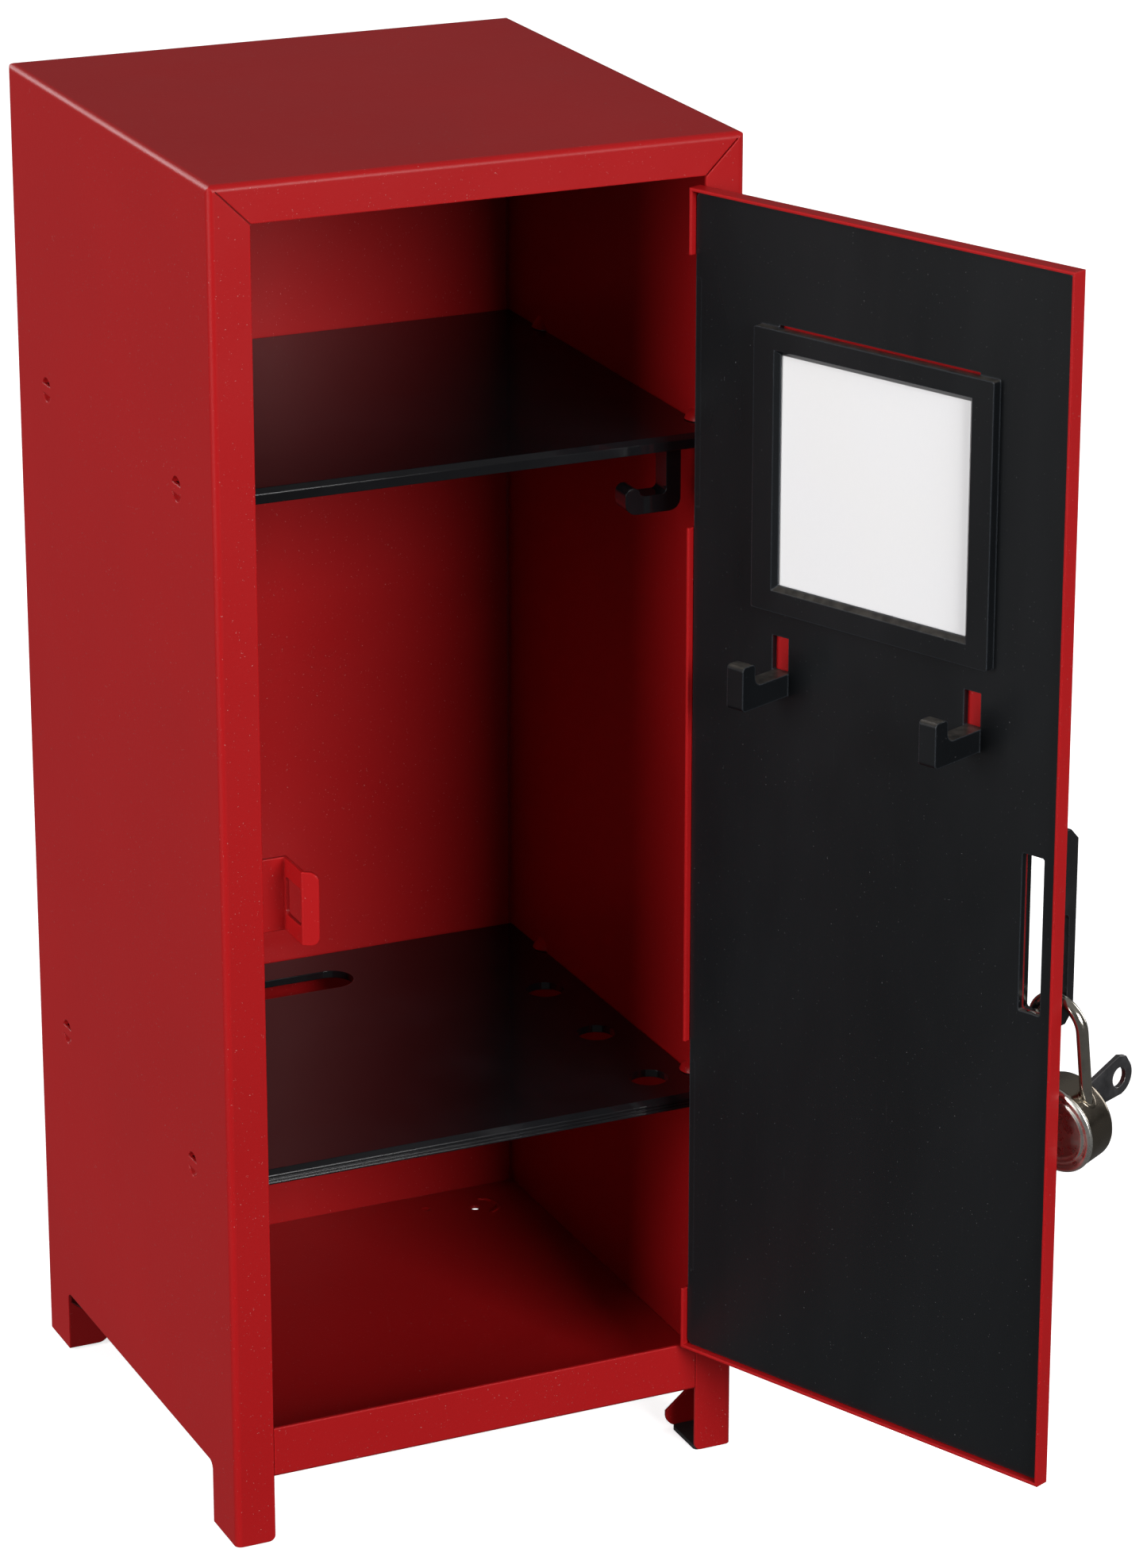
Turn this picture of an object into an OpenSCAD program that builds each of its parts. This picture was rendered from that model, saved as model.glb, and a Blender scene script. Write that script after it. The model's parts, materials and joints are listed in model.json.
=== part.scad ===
// Desk-size locker: folded sheet cabinet, two plastic shelves, a hinged door with a moulded
// liner, picture pocket and coat hooks, and a small round padlock hanging on the handle.
// The cabinet is modelled with its front left bottom corner at the origin and the door
// shut; place() and door_pose() then move each piece to where it stands.

/* [Cabinet] */
// Overall width across the side panels
cab_w = 122; // [108:1:150]
// Overall depth from front face to back face
cab_d = 125; // [105:1:155]
// Overall height including the foot pads
cab_h = 311; // [275:1:375]
// Thickness of the cabinet sheet
sheet_t = 0.8; // [0.6:0.05:1]
// Outside radius of the sheet bends
bend_r = 1.5; // [1.2:0.1:2]
// Width of the upright flanges of the face frame
flange_w = 9.2; // [8.5:0.1:12]
// Height of the top flange of the face frame
head_h = 8.8; // [7:0.1:12]
// Height of the lower edge of the side panels
apron_z = 15.3; // [12:0.1:20]
// Depth of a leg, front to back
leg_d = 14.3; // [12:0.1:18]
// Height of the floor's upper face
floor_z = 16.7; // [16:0.1:22]
// Height of the upper edge of the bottom rail
rail_top = 28.1; // [25:0.1:34]
// How far the foot pads stand out below the legs
pad_out = 0.5; // [0.4:0.1:2]

/* [Shelves] */
// Distance from the cabinet top down to the upper shelf
upper_shelf_drop = 69.7; // [60:0.1:82]
// Height of the lower shelf's upper face
lower_shelf_z = 85.6; // [75:0.1:100]
// Thickness of a shelf
shelf_t = 1.8; // [1.4:0.1:2.4]
// Depth of the lip along a shelf's front edge
shelf_lip = 3.2; // [2.6:0.1:4.5]
// Distance from the front face to the upper shelf's front edge
shelf_setback = 12; // [11:0.5:14]
// How much further forward the lower shelf reaches
lower_forward = 2.3; // [0:0.1:3]
// Diameter of the round pen holes
pen_hole_d = 9; // [7:0.5:10]
// Spacing of the pen holes
pen_pitch = 29; // [22:0.5:32]

/* [Door] */
// How far the door stands open (0 is shut)
door_open = 113.2; // [0:0.1:150]
// Gap between the door and the upright flanges
door_gap = 0.35; // [0.3:0.05:0.6]
// Depth of the door's folded edge
door_t = 3.4; // [3.2:0.02:3.5]
// Thickness of the door sheet
skin_t = 0.7; // [0.5:0.05:0.8]
// How far the shut door's outer face stands in front of the cabinet
door_out = 2.8; // [2.8:0.05:3]
// Thickness of the moulded liner
liner_t = 1.4; // [1.4:0.02:1.6]
// Distance of a hinge's middle from the end of the door
hinge_inset = 45.2; // [40:0.1:52]
// Length of a hinge
hinge_l = 50; // [40:1:56]
// Radius of a hinge pin
pin_r = 0.4; // [0.35:0.01:0.45]

/* [Picture pocket and hooks] */
// Width of the picture seen through the pocket's window
window_w = 51; // [40:1:56]
// Height of the picture seen through the pocket's window
window_h = 51; // [40:1:60]
// Width of the pocket's border
border_w = 6.3; // [5:0.1:8]
// Reach of a coat hook from the liner's face
hook_reach = 14.9; // [10:0.1:17]
// Width of a coat hook
hook_w = 4.5; // [3.5:0.1:6]

/* [Handle and slot] */
// Height of the slot's lower end above the ground
slot_z = 137.4; // [130:0.1:150]
// Length of the slot
slot_h = 35.6; // [30:0.1:40]
// Width of the slot
slot_w = 5.8; // [5.2:0.1:6.5]
// Distance from the slot to the door's free edge
slot_edge = 4.2; // [4:0.1:6]
// How far the handle's rib stands out from the liner side of the door
rib_out = 10.4; // [9.6:0.1:12]

/* [Padlock] */
// Outside radius of the round lock body
lock_r = 10.15; // [9.8:0.05:11]
// Thickness of the lock body
lock_t = 8.8; // [8.4:0.1:10]
// Radius of the shackle's wire
wire_r = 1.35; // [1.2:0.05:1.4]
// Half the distance between the shackle's legs
leg_x = 6.4; // [6.2:0.05:6.6]
// Height of the shackle's wire axis above the middle of the lock
shackle_h = 29.85; // [27:0.1:34]
// How far the hanging padlock leans away from the door
lock_lean = 8; // [6:0.5:9]

/* [Hidden] */
$fn = 48;
eps = 0.01;
big = 400;
red = [0.62, 0.07, 0.08];
black = [0.09, 0.09, 0.1];
chrome = [0.72, 0.71, 0.68];
steel = [0.55, 0.54, 0.52];

// cabinet
in_r = bend_r - sheet_t;
leg_z = pad_out;
open_x0 = flange_w;
open_x1 = cab_w - flange_w;
open_z1 = cab_h - head_h;
back_y = cab_d - 2 * sheet_t;
pad_c = [4.9, 7.1];
upper_shelf_z = cab_h - upper_shelf_drop;
vent = [cab_w - 16, cab_d - 13.5];
vent_r = 1.2;
vent_bead_r = 4.8;
vent_bead_w = 0.8;
dimple_r = 2.4;
leg_flange_r = 3;
leg_flange_w = flange_w + 1;
seam_w = 0.28;
pad_half = [3.9, 6.1];
pad_h = pad_out + 0.5;
lance_r = 3.73;
lance_x = -0.73;
lance_y = [22.4, cab_d - 20];

// shelves and the hook under the upper one
shelf_bevel = 1.1;
shelf_rib_w = 1.5;
back_slot_r = 5.35;
back_slot_x = [45.8, 67.2];
back_slot_y = cab_d - 17.6;
coat_hook_drop = 15.5;
coat_hook_reach = 13.3;
coat_hook_stem = 3.5;
coat_hook_arm = 4;
coat_hook_d = 5.5;
coat_hook_foot = [6.5, 15.4];

// door: x runs from the free edge to the hinge edge, y from the outer face inwards, and
// door_pose() moves it forwards by door_out and swings it open
door_x0 = open_x0 + door_gap;
door_x1 = open_x1 - door_gap;
door_w = door_x1 - door_x0;
door_z0 = rail_top + 0.5;
door_z1 = open_z1 - 1.8;
door_cx = (door_x0 + door_x1) / 2;
hinge_x = open_x1 - 1.8;
hinge_y = 0.95;
knuckle_r = pin_r + 0.45;
leaf_t = 0.5;
hinge_zs = [door_z0 + hinge_inset, door_z1 - hinge_inset];
notch_h = hinge_l + 11;
knuckles = 5;
knuckle_l = hinge_l / knuckles;
knuckle_play = 0.12;
leaf_w = 11;
liner_y = skin_t + liner_t;
louvre_r = 3;
louvre_y = 1.4;
louvre_w = door_w * 0.42;
louvre_zs = [for (i = [0:2]) door_z1 - 24 - i * 9, for (i = [0:2]) door_z0 + 26 + i * 9];

// picture pocket and hooks
frame_w = window_w + 2 * border_w + 1;
frame_h = window_h + 2 * border_w - 1;
frame_z1 = door_z1 - 26.4;
frame_z0 = frame_z1 - frame_h;
window_z0 = frame_z0 + border_w - 0.3;
frame_y = liner_y + 2.2;
pocket_t = 1;
card_t = 0.5;
card_w = window_w + 2.4;
card_h = window_h + 5;
card_z0 = window_z0 - 2.2;
hook_z = frame_z0 - 19;
hook_root_h = 5;
hook_tip_h = 10;
hook_tip_t = 4;
hook_xs = [door_cx - window_w / 2 - 1.6, door_cx + window_w / 2 + 0.1];
hook_fillet = 2;

// handle, slot and striker
slot_x0 = door_x0 + slot_edge;
slot_cz = slot_z + slot_h / 2;
plate_t = 1.4;
rib_t = 1.5;
rib_x1 = slot_x0 - 0.4;
rib_y = door_t - rib_out;
rib_slope = 2.6;
rib_window_z0 = slot_z + 1.05;
rib_window_w = 2 * wire_r + 0.7;
ledge_h = 1.5;
peg_r = 1.05;
peg_z = [slot_z - 1.8, slot_z + slot_h + 3.6];
striker_x = slot_x0 + 0.65;
striker_z0 = slot_cz - 9.4;
striker_z1 = slot_cz + 7.3;
striker_y = -9;
striker_lip = 3.2;
striker_turn = 34;
striker_r = 2.2;

// padlock: local x across the shackle, y towards the door, z up, origin at the body's middle
hang_x = slot_x0 - 0.5;
hang_y = -plate_t - wire_r - 0.25;
hang_z = rib_window_z0 + wire_r + 0.35;
plug_z = 2.4;
plug_r = 3.2;
core_r = lock_r - 0.75;
shell_r = 1.2;
rim_w = 3.2;
rim_t = 1.2;
chamber_x1 = leg_x - wire_r - 0.65;
bolt_turn = 1;
bolt_y = [0.2, 1.95];
drive_r = 0.5;
drive_a = 45;
unlock = bolt_turn * sqrt(2);
wafer_ys = [-2.9, -1.5];
key_t = 1.1;
blade_t = 0.9;
short_end = -1;
long_end = -4;

// ---- small helpers ----

// 2D rectangle from (x0, y0) to (x1, y1) with round corners
module rrect(x0, y0, x1, y1, r) {
    translate([x0 + r, y0]) square([x1 - x0 - 2 * r, y1 - y0]);
    translate([x0, y0 + r]) square([x1 - x0, y1 - y0 - 2 * r]);
    for (x = [x0 + r, x1 - r], y = [y0 + r, y1 - r]) translate([x, y]) circle(r);
}

// box from corner a to corner b
module box(a, b) {
    translate(a) cube(b - a);
}

// 2D profile drawn in (x, z), extruded from y0 to y1
module along_y(y0, y1) {
    translate([0, y1, 0]) rotate([90, 0, 0]) linear_extrude(y1 - y0) children();
}

// 2D profile drawn in (y, z), extruded from x0 to x1
module along_x(x0, x1) {
    translate([x0, 0, 0]) rotate([90, 0, 90]) linear_extrude(x1 - x0) children();
}

// cylinder of radius r along y
module rod_y(x, z, r, y0, y1) {
    translate([x, y1, z]) rotate([90, 0, 0]) cylinder(h = y1 - y0, r = r);
}

// moves the cabinet frame so that the origin is under the front left foot
module place() {
    translate([-pad_c[0], -pad_c[1], 0]) children();
}

// swings what belongs to the door about the hinge line
module door_pose() {
    place() translate([hinge_x, hinge_y - door_out, 0]) rotate([0, 0, door_open])
        translate([-hinge_x, -hinge_y, 0]) children();
}

// hangs what belongs to the padlock on the handle
module lock_pose() {
    door_pose() translate([hang_x, hang_y, hang_z]) rotate([-lock_lean, 0, 0])
        translate([0, 0, -shackle_h]) children();
}

// ---- cabinet ----

// box with all its bends, inset by i from the outside, running down below the ground
module bent_box(i) {
    r = bend_r - i;
    z0 = -20;
    intersection() {
        translate([0, 0, z0]) linear_extrude(cab_h - z0)
            rrect(i, i, cab_w - i, cab_d - i, r);
        along_y(-1, cab_d + 1) rrect(i, z0 - 9, cab_w - i, cab_h - i, r);
        along_x(-1, cab_w + 1) rrect(i, z0 - 9, cab_d - i, cab_h - i, r);
    }
}

// inward flange at the back of a leg, drawn in (x, z): sloped top, round lower corner
module leg_flange_2d() {
    h = apron_z - 3;
    r = leg_flange_r;
    difference() {
        polygon([[0.3, leg_z], [leg_flange_w, leg_z], [leg_flange_w, leg_z + 4],
                 [0.3, leg_z + h]]);
        difference() {
            translate([leg_flange_w - r, leg_z - 1]) square([r + 1, r + 1]);
            translate([leg_flange_w - r, leg_z + r]) circle(r);
        }
    }
}

// a pair of half domes pressed inwards, above and below a shelf whose upper face is at z
module lance_pair(y, z, part) {
    gap = shelf_t / 2 + 0.15;
    translate([0, y, z - shelf_t / 2]) difference() {
        translate([lance_x, 0, 0]) sphere(part == "skin" ? lance_r : lance_r - sheet_t, $fn = 32);
        box([-9, -9, -gap], [9, 9, gap]);
        if (part == "skin") box([-9, -9, -9], [0, 9, 9]);
    }
}

module all_lances(part) {
    for (y = lance_y, z = [upper_shelf_z, lower_shelf_z]) {
        lance_pair(y, z, part);
        translate([cab_w, 0, 0]) mirror([1, 0, 0]) lance_pair(y, z, part);
    }
}

module cabinet_shell() {
    color(red) place() difference() {
        union() {
            difference() {
                bent_box(0);
                bent_box(sheet_t);
                // open front and back inside the face flanges
                for (y = [-1, cab_d - 4])
                    box([open_x0, y, -30], [open_x1, y + 5, open_z1]);
                // open bottom between the legs
                box([-1, -1, -40], [cab_w + 1, cab_d + 1, leg_z]);
                along_x(-1, cab_w + 1) rrect(leg_d, -9, cab_d - leg_d, apron_z, 2);
                // round corner on each foot's face flange
                for (x = [0, 1]) translate([x * cab_w, 0, 0]) mirror([x, 0, 0])
                    along_y(-1, cab_d + 1) difference() {
                        translate([flange_w - 1.5, leg_z - 1]) square([2.5, 2.5]);
                        translate([flange_w - 1.5, leg_z + 1.5]) circle(1.5);
                    }
            }
            for (x = [0, 1], y = [leg_d - sheet_t, cab_d - leg_d])
                translate([x * cab_w, 0, 0]) mirror([x, 0, 0])
                    along_y(y, y + sheet_t) leg_flange_2d();
            all_lances("skin");
        }
        all_lances("void");
        // mitred seams at the corners of the face frame
        for (x = [0, 1], y = [-1, cab_d - sheet_t - 0.1])
            translate([x * cab_w, 0, 0]) mirror([x, 0, 0])
                translate([open_x0, y, open_z1]) rotate([0, 45, 0])
                    translate([-head_h * 1.19, 0, -seam_w / 2])
                        cube([head_h * 1.19 + 1, 1.9, seam_w]);
    }
}

module back_panel() {
    color(red) place() box([bend_r + 0.1, back_y, floor_z - sheet_t],
                           [cab_w - bend_r - 0.1, back_y + sheet_t, cab_h - bend_r - 0.2]);
}

module floor_panel() {
    x0 = sheet_t + 0.1;
    color(red) place() difference() {
        union() {
            box([x0, bend_r + 0.1, floor_z - sheet_t], [cab_w - x0, back_y - 0.1, floor_z]);
            // rail that closes the front between the legs, bent up from the floor
            along_x(open_x0 + 0.1, open_x1 - 0.1) difference() {
                union() {
                    translate([0, floor_z]) square([sheet_t, rail_top - floor_z]);
                    rrect(0, floor_z - sheet_t, 6, floor_z + 3, bend_r);
                }
                rrect(sheet_t, floor_z, 9, rail_top + 9, in_r);
            }
            // bead pressed beside the vent
            translate([vent[0] + 1.4, vent[1], floor_z - 0.1]) difference() {
                cylinder(h = 0.5, r = vent_bead_r);
                translate([0, 0, -1]) cylinder(h = 3, r = vent_bead_r - vent_bead_w);
                box([-9, -9, -1], [1, 9, 3]);
            }
        }
        translate([vent[0], vent[1], 0]) cylinder(h = 30, r = vent_r);
        translate([cab_w - 27.3, cab_d - 9.4, floor_z + 2.1]) sphere(dimple_r, $fn = 32);
    }
}

// ---- shelves ----

// front edge of a shelf in (y, z), its front at y0 and its upper face at 0, with n grooves
module shelf_edge_2d(y0, n) {
    c = shelf_bevel;
    difference() {
        polygon([[y0, -shelf_lip], [y0 + 1.4, -shelf_lip], [y0 + 1.4, 0], [y0 + c, 0],
                 [y0, -c]]);
        for (i = [1:1:n]) translate([y0, -c - i * (shelf_lip - c) / (n + 1)])
            rotate(45) square(0.42, center = true);
    }
}

module shelf_plate(y0, z, n) {
    x0 = sheet_t + 0.25;
    x1 = cab_w - x0;
    translate([0, 0, z]) {
        along_x(x0, x1) shelf_edge_2d(y0, n);
        box([x0, y0 + 1.3, -shelf_t], [x1, back_y - 0.4, 0]);
        box([x0, back_y - 0.4 - shelf_rib_w, -shelf_lip], [x1, back_y - 0.4, -shelf_t + eps]);
    }
}

module upper_shelf() {
    color(black) place() shelf_plate(shelf_setback, upper_shelf_z, 0);
}

module lower_shelf() {
    pen_x = cab_w - 11;
    r = back_slot_r;
    color(black) place() difference() {
        shelf_plate(shelf_setback - lower_forward, lower_shelf_z, 2);
        for (i = [0:2]) translate([pen_x, 22.3 + i * pen_pitch, 0])
            cylinder(h = cab_h, d = pen_hole_d);
        // long opening at the back left
        for (x = back_slot_x) translate([x, back_slot_y, 0]) cylinder(h = cab_h, r = r);
        box([back_slot_x[0], back_slot_y - r, 0], [back_slot_x[1], back_slot_y + r, cab_h]);
    }
}

// hook under the shelf: flat stem, short arm and raised tip, in (x, z) with the shelf at 0
module coat_hook_2d() {
    tip_r = 1.8;
    tip_z = -coat_hook_drop + coat_hook_arm + 0.3;
    difference() {
        rrect(0, -coat_hook_drop, coat_hook_reach, 6, 2.8);
        rrect(2 * tip_r, -coat_hook_drop + coat_hook_arm, coat_hook_reach - coat_hook_stem, 9,
              1.2);
        translate([-1, tip_z]) square([5.5, 30]);
        translate([-1, 0]) square([20, 20]);
    }
    translate([tip_r, tip_z]) circle(tip_r);
}

module coat_hook() {
    y = shelf_setback + 1.5;
    color(black) place() translate([cab_w - 21.5, 0, upper_shelf_z - shelf_t]) {
        along_y(y, y + coat_hook_d) coat_hook_2d();
        box([coat_hook_foot[0], y, -1.1], [coat_hook_foot[1], y + coat_hook_d, 0]);
    }
}

// ---- striker, feet and hinges on the cabinet ----

// plan of the striker: plate behind the flange, forward leg, and a turned lip
module striker_plan() {
    t = sheet_t;
    translate([3, t]) square([striker_x + t - 3, t]);
    translate([striker_x, striker_y]) square([t, 2 * t - striker_y]);
    translate([striker_x + t / 2, striker_y]) circle(t / 2);
    translate([striker_x + t / 2, striker_y]) rotate(-striker_turn) {
        translate([0, -t / 2]) square([striker_lip, t]);
        translate([striker_lip, 0]) circle(t / 2);
    }
}

module striker() {
    r = striker_r;
    tip = striker_lip + sheet_t / 2;
    wz0 = striker_z0 + 4;
    wz1 = striker_z1 - 4.1;
    color(red) place() difference() {
        translate([0, 0, striker_z0]) linear_extrude(striker_z1 - striker_z0) striker_plan();
        // window for the shackle
        along_x(striker_x - 1, striker_x + sheet_t + 0.2)
            rrect(striker_y + 0.2, wz0, 0, wz1, 1);
        // round outer corners of the lip
        translate([striker_x + sheet_t / 2, striker_y, 0]) rotate([0, 0, -striker_turn])
            for (s = [0, 1]) along_y(-2, 2) difference() {
                z = s == 0 ? striker_z0 : striker_z1 - r;
                translate([tip - r, z - (1 - s)]) square([r + 1, r + 1]);
                translate([tip - r, s == 0 ? z + r : z]) circle(r);
            }
    }
}

module foot_pads() {
    color(black) place() for (x = [0, 1], y = [0, 1])
        translate([x * cab_w, y * cab_d, 0]) mirror([x, 0, 0]) mirror([0, y, 0])
            translate([pad_c[0], pad_c[1], 0]) linear_extrude(pad_h)
                rrect(-pad_half[0], -pad_half[1], pad_half[0], pad_half[1], 1);
}

// one side of a hinge, its axis at the origin: every second knuckle from the first, each
// with a neck in plan from a to b, and a leaf from c to d
module hinge_side(z, first, bore_r, a, b, c, d) {
    translate([0, 0, z - hinge_l / 2]) difference() {
        union() {
            for (i = [first:2:knuckles - 1]) {
                z0 = i * knuckle_l + knuckle_play;
                z1 = (i + 1) * knuckle_l - knuckle_play;
                translate([0, 0, z0]) cylinder(h = z1 - z0, r = knuckle_r, $fn = 32);
                box([a[0], a[1], z0], [b[0], b[1], z1]);
            }
            box([c[0], c[1], 0], [d[0], d[1], hinge_l]);
        }
        translate([0, 0, -1]) cylinder(h = hinge_l + 2, r = bore_r, $fn = 32);
    }
}

module frame_hinge_leaves() {
    // the leaf lies behind the upright flange, and its necks step forward beside its edge
    y = sheet_t - (hinge_y - door_out);
    color(red) place() translate([hinge_x, hinge_y - door_out, 0]) for (z = hinge_zs)
        hinge_side(z, 0, pin_r, [0.55, 0], [1.65, y + leaf_t],
                   [0.55, y], [cab_w - sheet_t - 0.9 - hinge_x, y + leaf_t]);
}

module door_hinge_leaves() {
    // the leaf lies between the door's skin and its liner
    y = skin_t - hinge_y;
    color(red) door_pose() translate([hinge_x, hinge_y, 0]) for (z = hinge_zs)
        hinge_side(z, 1, pin_r + 0.05, [-1.9, y], [0, y + leaf_t], [-leaf_w, y],
                   [-1.5, y + leaf_t]);
}

module hinge_pins() {
    color(steel) place() for (z = hinge_zs) translate([hinge_x, hinge_y - door_out, z]) {
        cylinder(h = hinge_l, r = pin_r, center = true, $fn = 32);
        for (s = [-1, 1]) translate([0, 0, s * (hinge_l / 2 + 0.2)])
            cylinder(h = 0.4, r = pin_r + 0.3, center = true, $fn = 32);
    }
}

// ---- door ----

// hooded louvre, pressed outwards and open below; part is its skin or the hollow behind it
module louvre(z, part) {
    r = part == "skin" ? louvre_r : louvre_r - skin_t;
    w = louvre_w / 2 - louvre_r;
    translate([door_cx, louvre_y, z]) difference() {
        union() {
            translate([-w, 0, 0]) rotate([0, 90, 0]) cylinder(h = 2 * w, r = r, $fn = 32);
            for (s = [-1, 1]) translate([s * w, 0, 0]) sphere(r, $fn = 32);
        }
        box([-big, -9, -9], [big, 9, part == "skin" ? 0 : 0.3]);
        if (part == "skin") box([-big, skin_t / 2 - louvre_y, -9], [big, 9, 9]);
    }
}

// segments of the folded edge on the hinge side, clear of the hinges
module hinge_edge() {
    n = notch_h / 2;
    segs = [[door_z0, hinge_zs[0] - n], [hinge_zs[0] + n, hinge_zs[1] - n],
            [hinge_zs[1] + n, door_z1]];
    for (s = segs) box([door_x1 - skin_t, 0, s[0]], [door_x1, door_t, s[1]]);
}

module slot_cut(grow) {
    along_y(-20, 20) rrect(slot_x0 - grow, slot_z - grow, slot_x0 + slot_w + grow,
                           slot_z + slot_h + grow, 0.5 + grow);
}

module door_skin() {
    color(red) door_pose() difference() {
        union() {
            box([door_x0, 0, door_z0], [door_x1, skin_t, door_z1]);
            box([door_x0, 0, door_z0], [door_x0 + skin_t, door_t, door_z1]);
            for (z = [door_z0, door_z1 - skin_t])
                box([door_x0, 0, z], [door_x1, door_t, z + skin_t]);
            hinge_edge();
            for (z = louvre_zs) louvre(z, "skin");
        }
        for (z = louvre_zs) louvre(z, "void");
        slot_cut(0.2);
        for (z = peg_z) rod_y(slot_x0 + slot_w / 2, z, peg_r + 0.05, -1, 2);
        for (z = hinge_zs) box([hinge_x - knuckle_r - 1, -1, z - hinge_l / 2 - 0.6],
                               [door_x1 + 1, 2, z + hinge_l / 2 + 0.6]);
    }
}

// 2D outline in (y, z) of a liner hook, root at the liner's face
module liner_hook_2d() {
    y1 = liner_y + hook_reach;
    rrect(liner_y - 1, hook_z, y1, hook_z + hook_root_h, 0.9);
    rrect(y1 - hook_tip_t, hook_z, y1, hook_z + hook_tip_h, 0.9);
    translate([liner_y - 0.8, hook_z]) square([4, hook_root_h]);
    // fillet inside the bend
    translate([y1 - hook_tip_t, hook_z + hook_root_h]) difference() {
        translate([-hook_fillet, -0.1]) square(hook_fillet + 0.1);
        translate([-hook_fillet, hook_fillet]) circle(hook_fillet);
    }
}

// truncated pyramid cut with 45 degree sides, from the window up to the frame's face
module window_bevel() {
    b = frame_y - liner_y - pocket_t;
    x0 = door_cx - window_w / 2;
    x1 = door_cx + window_w / 2;
    z0 = window_z0;
    z1 = window_z0 + window_h;
    y0 = liner_y + pocket_t;
    intersection() {
        along_x(x0 - 5, x1 + 5) polygon([[y0 - eps, z0], [y0, z0], [y0 + b + 1, z0 - b - 1],
            [y0 + b + 1, z1 + b + 1], [y0, z1], [y0 - eps, z1]]);
        translate([0, 0, z0 - 5]) linear_extrude(window_h + 10)
            polygon([[x0, y0 - eps], [x0, y0], [x0 - b - 1, y0 + b + 1],
                [x1 + b + 1, y0 + b + 1], [x1, y0], [x1, y0 - eps]]);
    }
}

module picture_frame() {
    x0 = door_cx - frame_w / 2;
    x1 = door_cx + frame_w / 2;
    difference() {
        along_y(liner_y - 0.2, frame_y) rrect(x0, frame_z0, x1, frame_z1, 0.5);
        box([door_cx - card_w / 2 - 0.3, liner_y, card_z0 - 0.2],
            [door_cx + card_w / 2 + 0.3, liner_y + pocket_t, frame_z1 + 1]);
        window_bevel();
    }
}

module door_liner() {
    m = skin_t + 0.25;
    color(black) door_pose() difference() {
        union() {
            along_y(skin_t, liner_y)
                rrect(door_x0 + m, door_z0 + m, door_x1 - m, door_z1 - m, 1.5);
            picture_frame();
            for (x = hook_xs) along_x(x - hook_w / 2, x + hook_w / 2) liner_hook_2d();
        }
        slot_cut(0);
        // slot behind the card's upper edge
        box([door_cx - card_w / 2 - 0.3, 0, frame_z1 - 0.4],
            [door_cx + card_w / 2 + 0.3, liner_y + eps, frame_z1 + 0.6]);
        // moulding windows above the hooks
        for (x = hook_xs) box([x - hook_w / 2, 0, hook_z + hook_root_h],
                              [x + hook_w / 2, 9, hook_z + hook_root_h + 8]);
        // pockets for the handle's retainers and the hinge leaves
        for (z = peg_z) rod_y(slot_x0 + slot_w / 2, z, 2.2, 0, skin_t + 0.8);
        for (z = hinge_zs) box([hinge_x - leaf_w - 0.3, 0, z - hinge_l / 2 - 0.3],
                               [door_x1 + 1, skin_t + leaf_t + 0.15, z + hinge_l / 2 + 0.3]);
        for (z = hinge_zs) box([hinge_x - knuckle_r - 0.2, 0, z - hinge_l / 2 - 0.6],
                               [door_x1 + 1, hinge_y + knuckle_r + 0.12,
                                z + hinge_l / 2 + 0.6]);
    }
}

module picture_card() {
    y = liner_y + (pocket_t - card_t) / 2;
    color("white") door_pose() box([door_cx - card_w / 2, y, card_z0],
                                   [door_cx + card_w / 2, y + card_t, card_z0 + card_h]);
}

// ---- handle ----

// outline of the handle's standing rib in (y, z), sloped at both ends
module rib_2d() {
    c = rib_slope;
    z0 = slot_z - 1.6;
    z1 = slot_z + slot_h + 5.4;
    difference() {
        polygon([[0, z0 - 1.5], [rib_y + c, z0 - 1.5], [rib_y, z0 + c - 1.5], [rib_y, z1 - c],
                 [rib_y + c, z1], [0, z1]]);
        // window that the shackle passes through
        rrect(hang_y - rib_window_w / 2, rib_window_z0, hang_y + rib_window_w / 2,
              slot_cz + 4.2, 1.5);
    }
}

module handle() {
    z0 = slot_z - 3.8;
    z1 = slot_z + slot_h + 6;
    color(black) door_pose() {
        difference() {
            along_y(-plate_t, 0)
                rrect(rib_x1 - rib_t - 1, z0, slot_x0 + slot_w + 2.4, z1, 1.6);
            slot_cut(0.2);
        }
        along_x(rib_x1 - rib_t, rib_x1) rib_2d();
        // lower ledge that the hanging shackle leans on
        box([rib_x1 - rib_t - 0.6, -plate_t - 0.7, z0 + 0.4],
            [slot_x0 + slot_w + 2, -plate_t + 0.1, z0 + 0.4 + ledge_h]);
        for (z = peg_z) rod_y(slot_x0 + slot_w / 2, z, peg_r, -plate_t / 2, skin_t + 0.55);
    }
}

module handle_retainers() {
    color(steel) door_pose() for (z = peg_z) difference() {
        rod_y(slot_x0 + slot_w / 2, z, 1.9, skin_t, skin_t + 0.3);
        rod_y(slot_x0 + slot_w / 2, z, peg_r, 0, 9);
    }
}

// ---- padlock ----

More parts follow.
